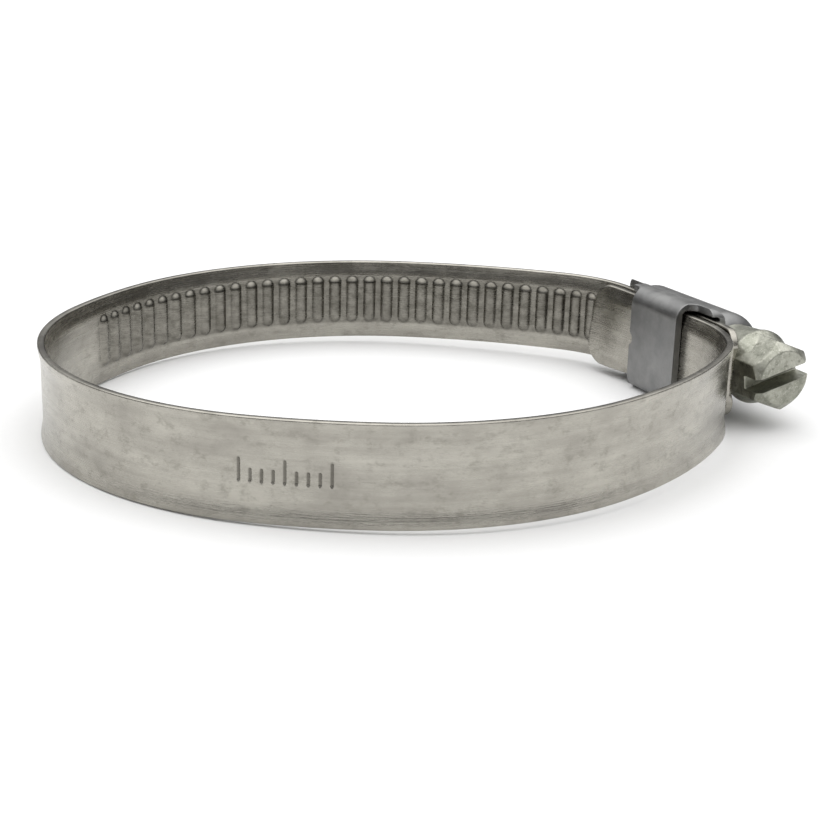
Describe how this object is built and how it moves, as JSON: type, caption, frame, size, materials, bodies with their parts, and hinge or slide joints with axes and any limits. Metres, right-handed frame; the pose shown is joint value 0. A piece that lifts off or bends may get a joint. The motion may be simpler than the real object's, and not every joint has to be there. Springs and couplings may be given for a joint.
{
  "type": "worm-drive hose clamp",
  "caption": "Worm-drive hose clamp: a ribbed steel band ring whose ends lie in a housing, drawn tight by a hexagon-head worm screw.",
  "frame": {"origin": "on the hose axis, at the middle of the strip's width", "axes": "+Z along the hose axis, +Y from the hose towards the housing, +X along the screw towards its hexagon head"},
  "size_m": [0.0616, 0.0738, 0.0112],
  "materials": {
    "strip": "satin",
    "housing": "satin",
    "screw": "dull zinc"
  },
  "bodies": {
    "clamp": {"strip": "strip", "housing": "housing"},
    "screw": {"screw": "screw"}
  },
  "joints": [
    {"name": "screw_turn", "type": "hinge", "parent": "clamp", "child": "screw", "pos_m": [0, 0.03642, 0], "axis": [-1, 0, 0], "range_deg": [-3600, 11034], "deforming": ["strip"]}
  ]
}
